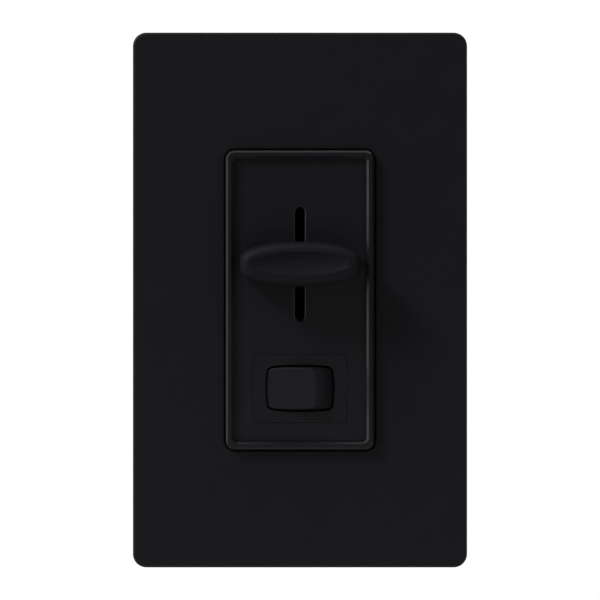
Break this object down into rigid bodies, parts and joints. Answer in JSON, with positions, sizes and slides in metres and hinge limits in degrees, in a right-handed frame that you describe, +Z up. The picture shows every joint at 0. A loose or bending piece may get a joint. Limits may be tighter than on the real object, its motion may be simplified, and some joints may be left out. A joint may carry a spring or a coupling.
{
  "type": "slide dimmer wall switch",
  "caption": "One-gang wall dimmer: a wide dished slide knob over a small side-to-side rocker, in a recessed decorator faceplate and a screwless wall plate.",
  "frame": {"origin": "midway between the two box screws, in the plane of the wall behind the plate", "axes": "+Z up, +X to the right seen from the front, the front faces -Y and the housing goes into the wall along +Y"},
  "size_m": [0.0746, 0.0483, 0.1194],
  "materials": {
    "plate_black": "satin moulded black",
    "insert_black": "satin moulded black",
    "rocker_black": "satin moulded black",
    "knob_black": "satin moulded black",
    "adapter_grey": "matt moulded dark grey",
    "housing_plastic": "matt moulded black thermoset",
    "mechanism_plastic": "natural moulded",
    "yoke_metal": "brushed and stamped",
    "can_metal": "black coated",
    "lever_black": "moulded black",
    "spring_steel": "drawn wire",
    "screw_steel": "zinc plated",
    "contact_brass": "stamped",
    "ground_green": "green dyed zinc",
    "fibre_washer": "vulcanised fibre",
    "board_laminate": "solder mask over laminate",
    "track_laminate": "phenolic with carbon track",
    "epoxy_black": "moulded epoxy",
    "pad_grey": "silicone",
    "ferrite": "coated powder core",
    "copper_wire": "enamelled copper",
    "film_box": "moulded box",
    "resistor_coat": "lacquered",
    "diac_body": "glass bead"
  },
  "bodies": {
    "root": {"cover_plate": "plate_black", "adapter_plate": "adapter_grey", "adapter_screws": "screw_steel", "faceplate": "insert_black", "switch_frame": "insert_black", "contact_cradle": "contact_brass", "fixed_contact": "contact_brass", "switch_base": "mechanism_plastic", "pot_can": "can_metal", "pot_board": "track_laminate", "pot_pins": "screw_steel", "circuit_board": "board_laminate", "film_capacitor": "film_box", "timing_capacitor": "film_box", "resistors": "resistor_coat", "diac": "diac_body", "choke_core": "ferrite", "choke_winding": "copper_wire", "triac_pad": "pad_grey", "triac": "epoxy_black", "triac_screw": "screw_steel", "yoke": "yoke_metal", "box_screws": "screw_steel", "retainer_washers": "fibre_washer", "ground_screw": "ground_green", "back_cover": "housing_plastic", "housing_screws": "screw_steel", "terminal_plates": "contact_brass", "terminal_screws": "screw_steel"},
    "rocker": {"rocker_button": "rocker_black", "plunger_spring": "spring_steel"},
    "plunger": {"plunger": "mechanism_plastic"},
    "contact": {"rocking_contact": "contact_brass"},
    "slider": {"slider_knob": "knob_black", "slider_lever": "lever_black", "pot_carriage": "lever_black", "pot_wiper": "contact_brass"}
  },
  "joints": [
    {"name": "rocker_hinge", "type": "hinge", "parent": "root", "child": "rocker", "pos_m": [0, -0.00295, -0.0197], "axis": [0, 0, 1], "range_deg": [0, 30]},
    {"name": "plunger_slide", "type": "slide", "parent": "rocker", "child": "plunger", "axis": [-0.2588, -0.9659, 0], "range_m": [0, 0.0006], "stiffness_N_per_m": 600, "springref_m": -0.0008, "deforming": ["plunger_spring"]},
    {"name": "contact_rock", "type": "hinge", "parent": "root", "child": "contact", "pos_m": [0, 0.00445, -0.0197], "axis": [0, 0, 1], "range_deg": [-12, 0]},
    {"name": "slider_travel", "type": "slide", "parent": "root", "child": "slider", "axis": [0, 0, 1], "range_m": [-0.01, 0.01]}
  ],
  "couplings": [
    {"joint": "contact_rock", "follows": "rocker_hinge", "ratio": -0.4}
  ]
}
